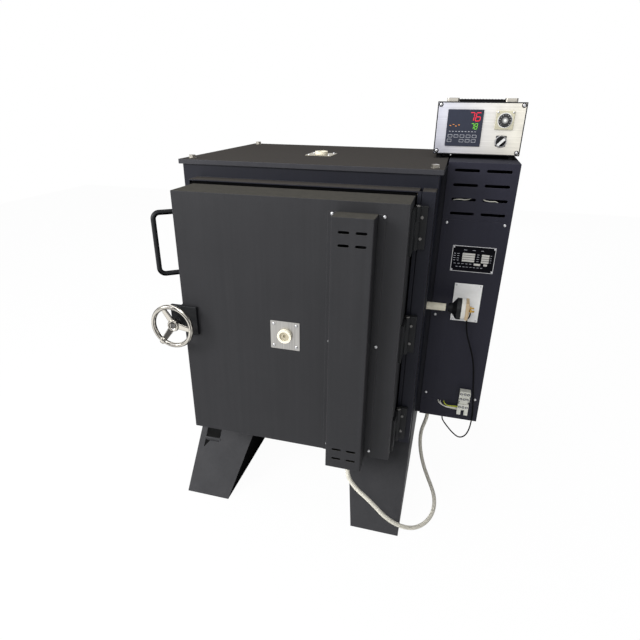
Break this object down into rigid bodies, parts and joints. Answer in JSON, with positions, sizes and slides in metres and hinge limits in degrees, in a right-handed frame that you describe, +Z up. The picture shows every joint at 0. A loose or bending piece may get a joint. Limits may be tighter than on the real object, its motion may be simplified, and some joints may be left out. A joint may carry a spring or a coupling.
{
  "type": "front-loading electric kiln",
  "caption": "Front-loading electric kiln on sheet trestles, with a hinged brick-lined door, a handwheel clamp, a side cabinet and a control case on top.",
  "frame": {"origin": "on the floor under the middle of the kiln's bounding box, its cords left out", "axes": "+X to the right seen from the front, +Y to the back, +Z up"},
  "size_m": [0.9154, 0.818, 1.1892],
  "materials": {
    "kiln_paint": "satin powder coat",
    "trestle_paint": "satin powder coat",
    "cabinet_paint": "satin powder coat",
    "firebrick": "matte, porous",
    "element_wire": "oxidised",
    "stainless": "brushed",
    "bright_steel": "zinc plated",
    "black_steel": "satin",
    "wheel_chrome": "polished",
    "port_ceramic": "unglazed",
    "black_plastic": "matte",
    "timer_plastic": "satin",
    "dial_plastic": "gloss",
    "terminal_plastic": "translucent",
    "black_rubber": "matte",
    "hose_braid": "braided",
    "lead_pvc": "matte"
  },
  "bodies": {
    "root": {"left_trestle": "trestle_paint", "right_trestle": "trestle_paint", "bottom_pan": "kiln_paint", "left_casing": "kiln_paint", "right_casing": "kiln_paint", "back_casing": "kiln_paint", "front_frame": "kiln_paint", "lid": "kiln_paint", "lid_bolts": "bright_steel", "hearth_bricks": "firebrick", "roof_bricks": "firebrick", "left_bricks": "firebrick", "right_bricks": "firebrick", "back_bricks": "firebrick", "left_element": "element_wire", "right_element": "element_wire", "rear_terminal_cover": "kiln_paint", "vent_plate": "stainless", "vent_tube": "port_ceramic", "frame_hinge_leaves": "black_steel", "hinge_pins": "bright_steel", "clamp_nut": "black_steel", "thermocouple_tube": "port_ceramic", "thermocouple_head": "black_plastic", "terminal_disc": "port_ceramic", "cabinet_shell": "cabinet_paint", "louvre_cover": "cabinet_paint", "cabinet_front_cover": "cabinet_paint", "cabinet_base_cover": "cabinet_paint", "cabinet_rails": "black_steel", "contactor": "black_plastic", "terminal_block": "terminal_plastic", "cabinet_glands": "black_plastic", "control_case": "cabinet_paint", "case_feet": "black_rubber", "control_panel": "stainless", "controller": "black_plastic", "timer_body": "timer_plastic", "switch_plate": "black_plastic", "strap_handle": "black_rubber", "strap_caps": "bright_steel", "white_hose": "hose_braid", "thermocouple_lead": "lead_pvc"},
    "door": {"door_shell": "kiln_paint", "door_bricks": "firebrick", "door_element": "element_wire", "door_hinge_leaves": "black_steel", "wiring_cover": "kiln_paint", "spyhole_plate": "stainless", "spyhole_tube": "port_ceramic", "pull_handle": "black_steel", "clamp_bracket": "black_steel", "hose_gland": "black_plastic"},
    "clamp_carriage": {"clamp_collar": "bright_steel"},
    "clamp_screw": {"handwheel": "wheel_chrome", "clamp_spindle": "bright_steel"},
    "spyhole_stopper": {"spyhole_plug": "port_ceramic"},
    "vent_stopper": {"vent_plug": "port_ceramic"},
    "timer_knob": {"timer_dial": "dial_plastic"},
    "main_switch": {"switch_knob": "black_plastic"}
  },
  "joints": [
    {"name": "door_swing", "type": "hinge", "parent": "root", "child": "door", "pos_m": [0.21575, -0.25, 0.613], "axis": [0, 0, 1], "range_deg": [0, 110], "deforming": ["white_hose"]},
    {"name": "clamp_feed", "type": "slide", "parent": "door", "child": "clamp_carriage", "axis": [0, 1, 0], "range_m": [0, 0.0125]},
    {"name": "clamp_turn", "type": "hinge", "parent": "clamp_carriage", "child": "clamp_screw", "pos_m": [-0.39525, -0.3932, 0.623], "axis": [0, 1, 0], "range_deg": [0, 1800]},
    {"name": "spyhole_plug_slide", "type": "slide", "parent": "door", "child": "spyhole_stopper", "axis": [0, -1, 0], "range_m": [0, 0.09]},
    {"name": "vent_plug_slide", "type": "slide", "parent": "root", "child": "vent_stopper", "axis": [0, 0, 1], "range_m": [0, 0.09]},
    {"name": "timer_turn", "type": "hinge", "parent": "root", "child": "timer_knob", "pos_m": [0.40375, 0.092, 1.134], "axis": [0, 1, 0], "range_deg": [0, 300]},
    {"name": "switch_turn", "type": "hinge", "parent": "root", "child": "main_switch", "pos_m": [0.40175, 0.095, 1.08], "axis": [0, -1, 0], "range_deg": [0, 90]}
  ],
  "couplings": [
    {"joint": "clamp_feed", "follows": "clamp_turn", "m_per_rad": 0.00039788}
  ]
}
